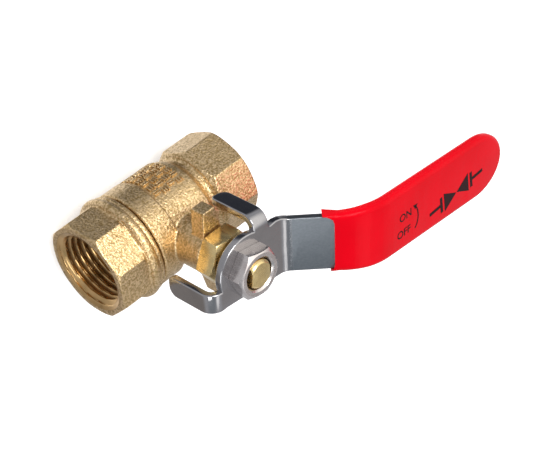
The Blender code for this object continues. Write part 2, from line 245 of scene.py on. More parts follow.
class Nodes:
    """Short forms for building a material's nodes."""

    def __init__(self, name):
        self.material = bpy.data.materials.new(name)
        self.material.use_nodes = True
        self.tree = self.material.node_tree
        self.shader = self.tree.nodes["Principled BSDF"]
        self.place = self.add("ShaderNodeTexCoord").outputs["Object"]

    def add(self, kind, **inputs):
        node = self.tree.nodes.new(kind)
        for key, value in inputs.items():
            self.feed(node.inputs[key.replace("_", " ")], value)
        return node

    def feed(self, socket, value):
        """Links a node's output, or sets a number or a colour."""
        if isinstance(value, bpy.types.NodeSocket):
            self.tree.links.new(value, socket)
        else:
            socket.default_value = (*value, 1.0) if isinstance(value, tuple) else value

    def noise(self, size, detail=3.0, rough=0.5, stretch=None):
        """Noise whose grains are about size millimetres."""
        place = self.place
        if stretch:
            mapping = self.add("ShaderNodeMapping", Vector=place)
            mapping.inputs["Scale"].default_value = stretch
            place = mapping.outputs["Vector"]
        return self.add("ShaderNodeTexNoise", Vector=place, Scale=1 / (size * MM), Detail=detail,
                        Roughness=rough).outputs["Fac"]

    def ramp(self, value, start, end, low_to=0.0, high_to=1.0):
        node = self.add("ShaderNodeMapRange", Value=value)
        node.inputs["From Min"].default_value = start
        node.inputs["From Max"].default_value = end
        node.inputs["To Min"].default_value = low_to
        node.inputs["To Max"].default_value = high_to
        return node.outputs["Result"]

    def mix(self, share, first, second):
        node = self.tree.nodes.new("ShaderNodeMix")
        node.data_type = "RGBA"
        colours = [s for s in node.inputs if s.type == "RGBA"]
        self.feed(node.inputs["Factor"], share)
        for socket, value in zip(colours, (first, second)):
            self.feed(socket, value)
        return [s for s in node.outputs if s.type == "RGBA"][0]

    def math(self, kind, first, second=0.0):
        node = self.tree.nodes.new("ShaderNodeMath")
        node.operation = kind
        self.feed(node.inputs[0], first)
        self.feed(node.inputs[1], second)
        return node.outputs[0]

    def bump(self, height, depth, strength=1.0, before=None):
        """Bump whose height of 1 is depth millimetres."""
        node = self.add("ShaderNodeBump", Height=height, Strength=strength, Distance=depth * MM)
        if before:
            self.feed(node.inputs["Normal"], before)
        return node.outputs["Normal"]

    def set(self, colour, roughness, metallic, normal=None, **fixed):
        self.feed(self.shader.inputs["Base Color"], colour)
        self.feed(self.shader.inputs["Roughness"], roughness)
        self.shader.inputs["Metallic"].default_value = metallic
        if normal:
            self.feed(self.shader.inputs["Normal"], normal)
        for key, value in fixed.items():
            self.shader.inputs[key.replace("_", " ")].default_value = value
        return self.material


def blasted_brass():
    n = Nodes("blasted brass")
    grain, coarse, patch = n.noise(0.55, 2.0, 0.6), n.noise(1.3, 3.0), n.noise(9.0, 3.0)
    pits = n.ramp(grain, 0.38, 0.62)
    colour = n.mix(pits, (0.36, 0.235, 0.09), (0.87, 0.645, 0.375))
    colour = n.mix(n.ramp(patch, 0.35, 0.7, 0.0, 0.5), colour, (0.72, 0.52, 0.27))
    height = n.math("ADD", n.math("MULTIPLY", grain, 0.65), n.math("MULTIPLY", coarse, 0.35))
    return n.set(colour, n.ramp(grain, 0.3, 0.7, 0.46, 0.30), 1.0, n.bump(height, 0.28, 1.0))


def turned_brass(name, colour, roughness, axis_scale):
    """Machined brass with fine tool lines across one axis."""
    n = Nodes(name)
    lines, stain = n.noise(0.9, 3.0, 0.6, axis_scale), n.noise(4.0, 4.0)
    darker = tuple(c * 0.72 for c in colour)
    shade = n.mix(n.ramp(stain, 0.35, 0.7), colour, darker)
    return n.set(shade, n.ramp(lines, 0.3, 0.7, roughness, roughness + 0.12), 1.0, n.bump(lines, 0.012))


def lever_chrome():
    """Bright plating, dulled by brushing on the crank between the head and the grip."""
    n = Nodes("lever plating")
    x = n.add("ShaderNodeSeparateXYZ", Vector=n.place).outputs["X"]    # along the lever, in metres
    crank = n.math("MULTIPLY", n.ramp(x, 0.0132, 0.0142), n.ramp(x, 0.030, 0.026))
    bend = n.math("MULTIPLY", n.ramp(x, 0.0095, 0.0115), n.ramp(x, 0.0145, 0.0130))
    brush = n.noise(0.5, 3.0, 0.6, (0.06, 1.0, 1.0))
    ripple = n.noise(0.7, 2.0, 0.5, (1.0, 0.12, 0.12))
    cloud, speck = n.noise(6.0, 4.0), n.noise(0.8, 4.0, 0.7)
    colour = n.mix(n.ramp(cloud, 0.3, 0.7), (0.37, 0.365, 0.375), (0.44, 0.43, 0.435))
    colour = n.mix(crank, colour, n.mix(brush, (0.18, 0.20, 0.22), (0.28, 0.30, 0.32)))
    rough = n.math("ADD", n.ramp(speck, 0.45, 0.8, 0.13, 0.22), n.math("MULTIPLY", crank, 0.20))
    normal = n.bump(cloud, 0.10, 0.35)
    normal = n.bump(n.math("MULTIPLY", brush, crank), 0.02, 0.6, normal)
    normal = n.bump(n.math("MULTIPLY", ripple, bend), 0.05, 0.8, normal)
    return n.set(colour, rough, 1.0, normal)


def nut_nickel():
    n = Nodes("nut plating")
    cloud, scratch = n.noise(2.5, 4.0), n.noise(0.5, 3.0, 0.6, (1.0, 1.0, 0.1))
    colour = n.mix(n.ramp(cloud, 0.3, 0.7), (0.60, 0.54, 0.52), (0.72, 0.68, 0.66))
    return n.set(colour, n.ramp(scratch, 0.3, 0.7, 0.18, 0.32), 1.0, n.bump(scratch, 0.01, 0.5))


def ball_chrome():
    n = Nodes("ball plating")
    colour = n.mix(n.noise(5.0), (0.60, 0.61, 0.63), (0.70, 0.71, 0.73))
    return n.set(colour, n.ramp(n.noise(1.5), 0.3, 0.7, 0.05, 0.12), 1.0)


def red_vinyl():
    n = Nodes("red vinyl")
    cloud, peel, fleck = n.noise(12.0, 2.0), n.noise(1.6, 3.0), n.noise(0.5, 2.0)
    colour = n.mix(n.ramp(cloud, 0.3, 0.7), (0.54, 0.0006, 0.006), (0.62, 0.0008, 0.008))
    normal = n.bump(fleck, 0.01, 0.25, n.bump(peel, 0.05, 0.35))
    return n.set(colour, n.ramp(fleck, 0.3, 0.7, 0.17, 0.25), 0.0, normal, IOR=1.45,
                 Specular_IOR_Level=0.25, Specular_Tint=(1.0, 0.22, 0.26, 1.0))


def marking_ink():
    n = Nodes("marking ink")
    colour = n.mix(n.noise(0.6), (0.008, 0.002, 0.003), (0.030, 0.005, 0.006))
    return n.set(colour, 0.45, 0.0, Specular_IOR_Level=0.15)


def white_ptfe():
    n = Nodes("white ptfe")
    colour = n.mix(n.noise(2.0), (0.80, 0.80, 0.77), (0.88, 0.88, 0.86))
    return n.set(colour, n.ramp(n.noise(1.0), 0.3, 0.7, 0.4, 0.55), 0.0)


# ---------------------------------------------------------------- pressure body

def octagon_end(face, back, turn):
    """Spanner octagon, turned down at the mouth and running out into the round at its back."""
    out = 1 if face > back else -1
    end = prism("octagon", 8, FLATS, min(face, back), max(face, back), turn=turn)
    shape = [(back, 0), (back, 12.1), (back + out * 1.6, R_CORNER), (face - out * 0.9, R_CORNER),
             (face - out * 0.35, 13.1), (face, R_RIM), (face, 0)]
    return combine(end, turned("turning", shape), "INTERSECT")


def barrel_radius(x):
    if x < X_STEP - 0.2:
        return R_RING
    return R_BARREL - 1.2 * min(max(x - X_BARREL_END, 0.0), 1.2)


def neck_root():
    """The fillet where the round neck grows out of the barrel."""
    bm = bmesh.new()
    count, steps = 72, 8
    rings = []
    for step in range(steps + 1):
        out = NECK_FILLET * step / steps
        rise = NECK_FILLET - math.sqrt(NECK_FILLET ** 2 - (NECK_FILLET - out) ** 2)
        radius = R_NECK - 0.05 + out
        ring = []
        for k in range(count):
            a = 2 * math.pi * k / count
            x, y = radius * math.cos(a), radius * math.sin(a)
            foot = math.sqrt((barrel_radius(x) - 0.1) ** 2 - y * y)
            ring.append(bm.verts.new((x, y, foot + rise)))
        rings.append(ring)
    rings.append([bm.verts.new((v.co.x, v.co.y, 4.0)) for v in rings[-1]])
    for ring, following in zip(rings, rings[1:]):
        for k in range(count):
            j = (k + 1) % count
            bm.faces.new((ring[k], ring[j], following[j], following[k]))
    bm.faces.new(rings[0])
    bm.faces.new(reversed(rings[-1]))
    return mesh_object("neck_root", bm)


def raised(x0, x1, a0, a1):
    """A cast mark on the barrel, between two places along it and two angles from +Y towards +Z."""
    bm = bmesh.new()
    steps = max(1, round(abs(a1 - a0) / 6))
    foot, top = R_BARREL - 0.6, R_BARREL + MARK_HEIGHT
    rows = []
    for i in range(steps + 1):
        a = math.radians(a0 + (a1 - a0) * i / steps)
        rows.append([bm.verts.new((x, r * math.cos(a), r * math.sin(a)))
                     for x, r in ((x0, foot), (x1, foot), (x1, top), (x0, top))])
    for row, following in zip(rows, rows[1:]):
        for i in range(4):
            j = (i + 1) % 4
            bm.faces.new((row[i], row[j], following[j], following[i]))
    bm.faces.new(rows[0])
    bm.faces.new(reversed(rows[-1]))
    return mesh_object("raised", bm)


def cast_marks():
    """Generic raised marks, blocks of bars in rows, standing where a maker casts its data."""
    marks = []
    for row in range(4):
        x = -2.6 + 2.4 * row
        for column in range(8):
            a = -50.0 + column * 9.6 + 2.4 * (row % 2)
            if (row + column) % 2:
                marks += [raised(x, x + 1.9, start, start + 1.9) for start in (a, a + 3.2)]
            else:
                marks += [raised(start, start + 0.42, a, a + 6.4) for start in (x, x + 0.75, x + 1.5)]
    return bevelled(joined("cast_marks", marks), 0.08, 2)


def body_skin():
    """Barrel, waist, neck, stop lugs and far octagon in one forging, with its machined bores."""
    barrel = turned("barrel", [
        (X_JOINT, 0), (X_JOINT, 12.9), (X_JOINT + 0.4, R_RING), (X_STEP - 0.25, R_RING),
        (X_STEP, R_BARREL), (X_BARREL_END, R_BARREL), (8.2, 12.5), (8.9, 11.8), (9.8, R_WAIST),
        (10.8, R_WAIST), (11.5, 11.8), (12.2, 12.2), (14.0, 12.3), (14.0, 0)])
    neck = turned("neck", [(4, 0), (4, R_NECK), (Z_NECK_TOP - 0.4, R_NECK), (Z_NECK_TOP, R_NECK - 0.4),
                           (Z_NECK_TOP, 0)], "Z", 72)
    parts = [barrel, neck, neck_root(), octagon_end(X_FAR, X_FAR_OCTAGON, FAR_TURN)]
    for side in (1, -1):
        root, tip = side * LUG_ROOT, side * LUG_TIP
        lug = [(-LUG_ROOT_HALF, root, LUG_LOW), (LUG_ROOT_HALF, root, LUG_LOW),
               (LUG_TIP_HALF, tip, LUG_LOW), (-LUG_TIP_HALF, tip, LUG_LOW)]
        parts.append(block("lug", lug, (0, 0, LUG_HIGH - LUG_LOW)))
    skin = forged(joined("forged_body", parts), VOXEL, 3)
    combine(skin, socket_bore(X_FAR, -1, 9.0), "DIFFERENCE")
    combine(skin, turned("cavity", [
        (X_JOINT - 1, 0), (X_JOINT - 1, R_JOINT), (-8.7, R_JOINT), (-8.7, R_SPIGOT), (-4.6, R_SPIGOT),
        (-4.6, R_CAVITY), (6.9, R_CAVITY), (6.9, R_SEAT), (10.3, R_SEAT), (10.3, 0)]), "DIFFERENCE")
    above = Z_NECK_TOP + 2
    combine(skin, turned("stem_hole", [
        (4, 0), (4, R_PACKING), (13.5, R_PACKING), (13.5, R_STEM_HOLE), (14.9, R_STEM_HOLE),
        (14.9, R_PACKING), (above, R_PACKING), (above, 0)], "Z", 64), "DIFFERENCE")
    return joined("body_skin", [skin, cast_marks()])


def socket_bore(face, inward, end):
    """The tool that opens a mouth and its passage; the thread lining goes inside it."""
    floor = face + inward * (SOCKET + 0.5)
    return turned("bore", [(face - inward * 2, 0), (face - inward * 2, R_MOUTH), (floor, R_MOUTH),
                           (floor, R_PASSAGE), (end, R_PASSAGE), (end, 0)])


def end_skin():
    """The end connector: near octagon and grooved collar in one forging, with its bores."""
    collar = turned("collar", [
        (-14.8, 0), (-14.8, 12.5), (-14.3, 13.6), (-13.9, 14.0), (-13.2, 14.15), (-12.6, 14.05),
        (-12.2, 13.7), (-12.0, 13.35), (-11.75, 13.65), (-11.2, 13.7), (-10.8, 13.45), (-10.55, 13.1),
        (-10.55, R_CAVITY), (-7.0, R_CAVITY), (-7.0, 0)])
    shape = [(X_NEAR, 0), (X_NEAR, R_RIM), (X_NEAR + 0.35, 13.1), (X_NEAR + 0.9, R_CORNER),
             (-15.6, R_CORNER), (-14.0, 12.3), (X_NEAR_OCTAGON, 0)]
    end = combine(prism("octagon", 8, FLATS, X_NEAR, X_NEAR_OCTAGON, turn=CONNECTOR_TURN),
                  turned("turning", shape), "INTERSECT")
    skin = forged(joined("forged_end", [collar, end]), VOXEL, 2)
    combine(skin, socket_bore(X_NEAR, 1, -9.0), "DIFFERENCE")
    pocket = [(-10.3, 0), (-10.3, R_SEAT), (-6, R_SEAT), (-6, 0)]
    return combine(skin, turned("pocket", pocket), "DIFFERENCE")


def thread_radius(depth, around):
    """Radius of the mouth at a depth and a share of a turn: countersink first, then a V thread."""
    phase = (depth / PITCH + around) % 1.0
    flank = min(max(abs(2 * phase - 1) * 1.2 - 0.08, 0.0), 1.0)
    fade = min(max((SOCKET - 0.6 - depth) / 1.2, 0.0), 1.0)
    radius = R_MINOR + (R_MAJOR - R_MINOR) * flank * fade
    return max(radius, R_MOUTH - MOUTH_LIP - depth * 2.2, R_MAJOR - depth * 0.65)


def thread_lining(name, face, inward):
    """The machined mouth: countersink, right-hand helical thread and the shoulder behind it."""
    bm = bmesh.new()
    around, depth_step = 144, PITCH / 16
    angles = [2 * math.pi * k / around for k in range(around)]
    rings = []
    for level in range(round(SOCKET / depth_step) + 1):
        depth = level * depth_step
        radii = [thread_radius(depth, inward * k / around) for k in range(around)]
        rings.append([bm.verts.new((face + inward * depth, radius * math.cos(a), radius * math.sin(a)))
                      for radius, a in zip(radii, angles)])
    floor = face + inward * SOCKET
    back = floor + inward * 0.4
    for x, r in ((floor, R_PASSAGE + 1.0), (floor + inward * 0.3, R_PASSAGE + 0.1),
                 (back, R_PASSAGE + 0.1), (back, R_MOUTH - MOUTH_LIP)):
        rings.append([bm.verts.new((x, r * math.cos(a), r * math.sin(a))) for a in angles])
    for ring, following in zip(rings, rings[1:] + rings[:1]):
        for k in range(around):
            j = (k + 1) % around
            bm.faces.new((ring[k], ring[j], following[j], following[k]))
    return mesh_object(name, bm)


# ---------------------------------------------------------------- ball, stem and nuts

def fine_ball():
    limit = math.degrees(math.asin((R_PORT + 0.35) / R_BALL))
    steps = 48
    angles = [math.radians(180 - limit + (2 * limit - 180) * i / steps) for i in range(steps + 1)]
    outline = [(R_BALL * math.cos(a), R_BALL * math.sin(a)) for a in angles]
    reach = outline[-1][0] - 0.45
    ball = turned("plated_ball", outline + [(reach, R_PORT), (-reach, R_PORT)])
    half = STEM_FLATS / 2 - 0.65
    combine(ball, box("slot", (-half, -9, 7.4), (half, 9, 12)), "DIFFERENCE")
    ball.data.transform(LEVER_FRAME)
    return ball


def fine_stem():
    """Stem with a turned foot, a threaded top, two driving flats and the blade that turns the ball."""
    outline = [(Z_FOOT, 0), (Z_FOOT, 3.0), (Z_FLANGE, 4.75), (Z_FLANGE, R_FLANGE), (Z_SHANK, R_FLANGE),
               (Z_SHANK, R_STEM), (29.2, R_STEM)]
    turns = int((Z_STEM_TOP - 0.8 - Z_STEM_FLATS) / STEM_PITCH * 2)
    for i in range(turns + 1):
        outline.append((Z_STEM_FLATS + i * STEM_PITCH / 2, R_STEM - (0.0 if i % 2 else 0.55)))
    outline += [(Z_STEM_TOP - 0.6, R_STEM - 0.15), (Z_STEM_TOP, R_STEM - 0.75), (Z_STEM_TOP, 0)]
    stem = turned("threaded_stem", outline, "Z", 72)
    blade = STEM_FLATS / 2 - 0.95
    combine(stem, box("below", (-6, -6, 8), (6, 6, Z_FLANGE)), "DIFFERENCE")
    combine(stem, box("blade", (-blade, -4.3, 7.75), (blade, 4.3, 11.0)), "UNION")
    for side in (1, -1):
        start, end = sorted((side * STEM_FLATS / 2, side * 6))
        combine(stem, box("flat", (start, -6, Z_STEM_FLATS), (end, 6, 38)), "DIFFERENCE")
    stem.data.transform(LEVER_FRAME)
    return bevelled(stem, 0.08, 2, 40.0)


def chamfered_nut(name, flats, bottom, top, turn, bore, crown):
    """A hexagon nut with its corners turned down and a countersunk bore."""
    nut = prism(name, 6, flats, bottom, top, "Z", turn)
    corner = flats / 2 / math.cos(math.pi / 6)
    shape = [(bottom, 0), (bottom, corner - 0.3), (bottom + 0.25, corner + 0.2),
             (top - crown, corner + 0.1), (top - crown * 0.25, flats / 2 + 0.05), (top, flats / 2 - 0.3),
             (top, 0)]
    combine(nut, turned("crown", shape, "Z", 96), "INTERSECT")
    hole = [(bottom - 1, 0), (bottom - 1, bore + 0.5), (bottom, bore + 0.5), (bottom + 0.5, bore),
            (top - 0.5, bore), (top, bore + 0.5), (top + 1, bore + 0.5), (top + 1, 0)]
    combine(nut, turned("hole", hole, "Z", 72), "DIFFERENCE")
    return bevelled(nut, 0.14, 3, 25.0)


# ---------------------------------------------------------------- lever

def bend_corner(before, corner, after, radius):
    """Start, centre, turning side and the two headings of a rounded corner of the arm's line."""
    a, b = (corner - before).normalized(), (after - corner).normalized()
    start, end = math.atan2(a.y, a.x), math.atan2(b.y, b.x)
    side = 1 if end > start else -1
    trim = radius * math.tan(abs(end - start) / 2)
    centre = corner - a * trim + Vector((-a.y, a.x)) * side * radius
    return corner - a * trim, centre, side, start, end


HEAD, TIP = Vector((0, Z_PLATE)), Vector((TIP_X, TIP_Z))
CORNERS = [bend_corner(HEAD, BEND_1, BEND_2, BEND_1_R), bend_corner(BEND_1, BEND_2, TIP, BEND_2_R)]
RADII = [BEND_1_R, BEND_2_R]


def ahead(heading):
    return Vector((math.cos(heading), math.sin(heading)))


def arm_line(distance):
    """Point and heading on the arm's top line, by its distance along the steel from the stem axis."""
    point, heading = HEAD, 0.0
    left = distance
    for (start, centre, side, first, last), radius in zip(CORNERS, RADII):
        run = (start - point).length if (start - point).dot(ahead(heading)) > 0 else 0
        if left <= run:
            return point + ahead(heading) * left, heading
        left -= run
        length = radius * abs(last - first)
        turn = min(left / length, 1.0)
        heading = first + (last - first) * turn
        point = centre + Vector((math.sin(heading), -math.cos(heading))) * side * radius
        if left <= length:
            return point, heading
        left -= length
    return point + ahead(heading) * left, heading


def distance_at(x):
    """Distance along the arm at which its top line reaches x."""
    start, end = 0.0, 140.0
    for _ in range(40):
        middle = (start + end) / 2
        if arm_line(middle)[0].x < x:
            start = middle
        else:
            end = middle
    return end


END = distance_at(TIP_X)
BENDS = (distance_at(CORNERS[0][0].x), distance_at(CORNERS[1][0].x + 14.5))


def fold_arm(flat):
    """Bends a point of the flat blank (along, across, up) onto the arm."""
    point, heading = arm_line(max(flat.x, 0.0))
    normal = Vector((-math.sin(heading), math.cos(heading)))
    spot = point + normal * flat.z
    x = spot.x if flat.x > 0 else flat.x
    return Vector((x, flat.y, spot.y))


def fold_lever(flat):
    """Bends the blank of the lever: the arm, or one of the two ears."""
    radius = EAR_OUT - EAR_ROOT
    beside = flat.y - EAR_ROOT, EAR_NEAR - 0.1 < flat.x < EAR_LIMIT
    behind = -flat.x - EAR_ROOT, flat.y < -EAR_NEAR + 0.1
    for beyond, inside in (beside, behind):
        if beyond <= 0 or not inside:
            continue
        arc = radius * math.pi / 2
        if beyond < arc:
            angle = beyond / radius
            out = EAR_ROOT + (radius + flat.z) * math.sin(angle)
            up = Z_PLATE - radius + (radius + flat.z) * math.cos(angle)
        else:
            out, up = EAR_OUT + flat.z, Z_PLATE - radius - (beyond - arc)
        return Vector((flat.x, out, up)) if flat.y > 0 else Vector((-out, flat.y, up))
    return fold_arm(flat)


def half_width(distance, extra, end):
    """Half the width of steel or sleeve: a narrow neck, a straight grip and an elliptical tip."""
    if distance > end - TIP_LENGTH:
        along = min((distance - end + TIP_LENGTH) / TIP_LENGTH, 1.0)
        return (ARM_HALF + extra) * math.sqrt(max(1 - along ** 2, 0.0))
    share = min(max((distance - WIDENS_FROM) / WIDENS_OVER, 0.0), 1.0)
    return extra + NECK_HALF + (ARM_HALF - NECK_HALF) * share * share * (3 - 2 * share)


def edge_line(start, extra, steps):
    """One long edge of the arm, grown by extra, as (along, half width) points out to the tip."""
    end = END + extra
    straight = [start + (end - TIP_LENGTH - start) * i / steps for i in range(steps)]
    curve = [end - TIP_LENGTH * (1 - math.sin(math.pi / 2 * i / 14)) for i in range(15)]
    return [(d, half_width(d, extra, end)) for d in straight + curve]


def rounded(points, corner, radius, steps=6):
    """Replaces one corner of an outline with an arc."""
    before, at, after = (Vector(points[(corner + k) % len(points)]) for k in (-1, 0, 1))
    a, b = (before - at).normalized(), (after - at).normalized()
    half = a.angle(b) / 2
    centre = at + (a + b).normalized() * (radius / math.sin(half))
    first, last = at + a * radius / math.tan(half) - centre, at + b * radius / math.tan(half) - centre
    start = math.atan2(first.y, first.x)
    sweep = (math.atan2(last.y, last.x) - start + math.pi) % (2 * math.pi) - math.pi
    arc = [(centre.x + radius * math.cos(start + sweep * i / steps),
            centre.y + radius * math.sin(start + sweep * i / steps)) for i in range(steps + 1)]
    return points[:corner] + arc + points[corner + 1:]


def inward(outline):
    """For each corner of an anticlockwise outline, the step that moves both its sides in by one."""
    steps = []
    for i, at in enumerate(outline):
        before, after = Vector(outline[i - 1]), Vector(outline[(i + 1) % len(outline)])
        a, b = (Vector(at) - before).normalized(), (after - Vector(at)).normalized()
        normal = Vector((-a.y - b.y, a.x + b.x)).normalized()
        steps.append(normal / max(normal.dot(Vector((-a.y, a.x))), 0.5))
    return steps


def blank(name, outline, over, under, rims, segments=5):
    """A flat blank whose top and bottom rims are rounded; rims is one radius or one for each corner."""
    rims = rims if isinstance(rims, list) else [rims] * len(outline)
    angles = [math.pi / 2 * i / segments for i in range(segments + 1)]
    levels = [(-under, 1, a) for a in reversed(angles)] + [(over, -1, a) for a in angles]
    bm = bmesh.new()
    rings = []
    for height, side, angle in levels:
        inset, drop = 1 - math.cos(angle), 1 - math.sin(angle)
        rings.append([bm.verts.new((x + step.x * rim * inset, y + step.y * rim * inset,
                                    height + side * rim * drop))
                      for (x, y), step, rim in zip(outline, inward(outline), rims)])
    for ring, following in zip(rings, rings[1:]):
        for i in range(len(outline)):
            j = (i + 1) % len(outline)
            bm.faces.new((ring[i], ring[j], following[j], following[i]))
    bm.faces.new(rings[-1])
    bm.faces.new(reversed(rings[0]))
    return mesh_object(name, bm)


def spread(start, end, count):
    return [start + (end - start) * i / count for i in range(count + 1)]


def folded(obj, cuts, fold):
    """Divides a flat blank at (axis, places), so that it can bend, and bends it."""
    bm = bmesh.new()
    bm.from_mesh(obj.data)
    bmesh.ops.scale(bm, vec=(1 / MM, 1 / MM, 1 / MM), verts=bm.verts)
    bmesh.ops.triangulate(bm, faces=[f for f in bm.faces if len(f.verts) > 4])
    for axis, places in cuts:
        normal = Vector((axis == 0, axis == 1, 0))
        for place in places:
            bmesh.ops.bisect_plane(bm, geom=bm.verts[:] + bm.edges[:] + bm.faces[:], dist=1e-4,
                                   plane_co=normal * place, plane_no=normal)
    for vert in bm.verts:
        vert.co = fold(vert.co)
    name = obj.name
    bpy.data.objects.remove(obj, do_unlink=True)
    return mesh_object(name, bm)


def bent_lever():
    """The lever: a blank with its two ears and the keyed hole, bent into shape."""
    tip = EAR_ROOT + (EAR_OUT - EAR_ROOT) * (math.pi / 2 - 1) + Z_PLATE - EAR_LOW
    edge = edge_line(ARM_START, 0.0, 16)
    start = math.degrees(math.atan2(EAR_ROOT, EAR_NEAR))
    rim = [(HEAD_R * math.cos(math.radians(a)), HEAD_R * math.sin(math.radians(a)))
           for a in spread(start, 270 - start, 36)]
    ear_side = [(EAR_FAR_SIDE, EAR_ROOT), (EAR_FAR_SIDE, tip), (EAR_NEAR, tip), rim[0]]
    ear_side = rounded(rounded(ear_side, 2, 1.3), 1, 2.4)[:-1]
    ear_back = [rim[-1], (-tip, -EAR_NEAR), (-tip, -EAR_FAR_BACK), (-EAR_ROOT, -EAR_FAR_BACK),
                (-7.5, -NECK_HALF)]
    ear_back = rounded(rounded(ear_back, 2, 2.6), 1, 1.3)[1:]
    outline = [(d, -w) for d, w in edge] + [(d, w) for d, w in reversed(edge[:-1])]
    notch = [(11.6, 8.35), (10.0, 8.55), (8.9, 8.35), (8.1, 8.1), (7.5, 8.4)]
    outline += notch + ear_side + rim + ear_back
    flat = blank("plated_lever", outline, 0.0, STEEL, 0.35, 4)
    bore, reach = R_STEM + STEM_CLEAR, STEM_FLATS / 2 + STEM_CLEAR
    hole = turned("hole", [(-9, 0), (-9, bore), (9, bore), (9, 0)], "Z", 64)
    combine(hole, box("flats", (-reach, -6, -10), (reach, 6, 10)), "INTERSECT")
    combine(flat, hole, "DIFFERENCE")
    bend = spread(0.02, (EAR_OUT - EAR_ROOT) * math.pi / 2, 12)
    first, second = BENDS
    cuts = [(0, spread(first - 0.5, first + 3.2, 12) + spread(second - 16, second + 6, 30)),
            (1, [EAR_ROOT + p for p in bend]), (0, [-EAR_ROOT - p for p in bend])]
    return folded(flat, cuts, fold_lever)


def grip_sleeve():
    """The vinyl sleeve, hollowed round the steel and cut back at its mouth while it is flat."""
    start, wall = distance_at(SLEEVE_START), SLEEVE_WALL
    edge = edge_line(start, wall, 14)
    wide = edge[0][1]
    outline = [(start + 2.0, 0.4 - wide)] + [(d, -w) for d, w in edge[1:]]
    outline += [(d, w) for d, w in reversed(edge[:-1])]
    rims = [0.3 if d < start + 3.5 else SLEEVE_ROUND for d, _ in outline]
    sleeve = blank("vinyl_sleeve", outline, wall, STEEL + wall, rims, 7)
    inner = edge_line(start - 4, 0.1, 14)
    core = [(d, -w) for d, w in inner] + [(d, w) for d, w in reversed(inner[:-1])]
    combine(sleeve, blank("core", core, 0.1, STEEL + 0.1, 0.3, 3), "DIFFERENCE")
    mouth = [(-5, 0.5 - wide), (2.2, 0.5 - wide), (2.8, 1.1 - wide), (3.0, 2.2 - wide),
             (3.0, wide - 2.6), (2.6, wide - 1.4), (1.8, wide - 0.8), (0.8, wide - 0.4),
             (-5, wide - 0.4)]
    bite = block("bite", [(start + d, w, -6) for d, w in mouth], (0, 0, 12))
    combine(sleeve, bite, "DIFFERENCE")
    cuts = [(0, spread(start - 1, BENDS[1] + 8, 36) + spread(BENDS[1] + 12, END - 2, 10))]
    return folded(sleeve, cuts, fold_arm)


# ---------------------------------------------------------------- print on the grip

def grip_place(x, y):
    """Matrix of a spot on the grip's top, in metres, with local x along the grip."""
    point, heading = arm_line(distance_at(x))
    top = point + Vector((-math.sin(heading), math.cos(heading))) * (SLEEVE_WALL + INK_LIFT)
    return (LEVER_FRAME @ Matrix.Translation(Vector((top.x, y, top.y)) * MM)
            @ Matrix.Rotation(-heading, 4, "Y"))


def word(name, text, x, y, size, turn):
    """A printed word, centred on one spot of the grip."""
    curve = bpy.data.curves.new(name, "FONT")
    curve.body = text
    curve.size = size * MM
    curve.extrude = 0.02 * MM
    curve.offset = 0.012 * size * MM
    curve.align_x = "CENTER"
    curve.align_y = "CENTER"
    obj = bpy.data.objects.new(name, curve)
    bpy.context.scene.collection.objects.link(obj)
    bpy.context.view_layer.update()
    mesh = bpy.data.meshes.new_from_object(obj.evaluated_get(bpy.context.evaluated_depsgraph_get()))
    bpy.data.objects.remove(obj, do_unlink=True)
    mesh.transform(grip_place(x, y) @ Matrix.Rotation(math.radians(turn), 4, "Z"))
    solid = bpy.data.objects.new(name, mesh)
    bpy.context.scene.collection.objects.link(solid)
    return solid


def inked(name, shapes, x, y, turn=0.0):
    """Flat printed shapes, each a list of (along, across) corners, on the grip around one spot."""
    bm = bmesh.new()
    for shape in shapes:
        face = bm.faces.new([bm.verts.new((u, v, 0.0)) for u, v in shape])
        grown = bmesh.ops.extrude_face_region(bm, geom=[face])["geom"]
        lifted = [g for g in grown if isinstance(g, bmesh.types.BMVert)]
        bmesh.ops.translate(bm, vec=(0, 0, INK_DEPTH), verts=lifted)
    obj = mesh_object(name, bm)
    obj.data.transform(grip_place(x, y) @ Matrix.Rotation(math.radians(turn), 4, "Z"))
    return obj


def ribbon(points, width):
    """Corners of a line of a given width through a few points."""
    left, right = [], []
    for i, point in enumerate(points):
        way = Vector(points[min(i + 1, len(points) - 1)]) - Vector(points[max(i - 1, 0)])
        side = Vector((-way.y, way.x)).normalized() * width / 2
        left.append(tuple(Vector(point) + side))
        right.append(tuple(Vector(point) - side))
    return left + right[::-1]


def turn_arrow():
    """The curved arrow between the two words."""
    angles = [math.radians(a) for a in spread(-62, 62, 12)]
    bow = [(2.3 * math.cos(a) - 0.9, 3.7 * math.sin(a)) for a in angles]
    head = [(-0.75, 3.9), (1.05, 3.75), (0.15, 2.4)]
    return [ribbon(bow, 0.42), head]


def valve_sign():
    """The drawing sign for a valve, two triangles tip to tip, between two flanged lengths of pipe."""
    shapes = [[(side * -5.2, 2.9), (side * -5.2, -2.9), (side * -0.1, 0.0)] for side in (1, -1)]
    for side in (1, -1):
        shapes.append(ribbon([(side * 6.9, 0), (side * 11.4, 0)], 1.0))
        shapes.append(ribbon([(side * 6.4, -2.4), (side * 6.4, 2.4)], 1.0))
    return shapes


# ---------------------------------------------------------------- stage

def direction_lobe(tree, direction, inner, outer):
    """A soft round patch of the surroundings: 1 within inner degrees of a direction, 0 past outer."""
    place = tree.nodes.new("ShaderNodeTexCoord")
    dot = tree.nodes.new("ShaderNodeVectorMath")
    dot.operation = "DOT_PRODUCT"
    dot.inputs[1].default_value = Vector(direction).normalized()
    tree.links.new(place.outputs["Generated"], dot.inputs[0])
    ramp = tree.nodes.new("ShaderNodeMapRange")
    ramp.interpolation_type = "SMOOTHSTEP"
    ramp.inputs["From Min"].default_value = math.cos(math.radians(outer))
    ramp.inputs["From Max"].default_value = math.cos(math.radians(inner))
    tree.links.new(dot.outputs["Value"], ramp.inputs["Value"])
    return ramp.outputs["Result"]


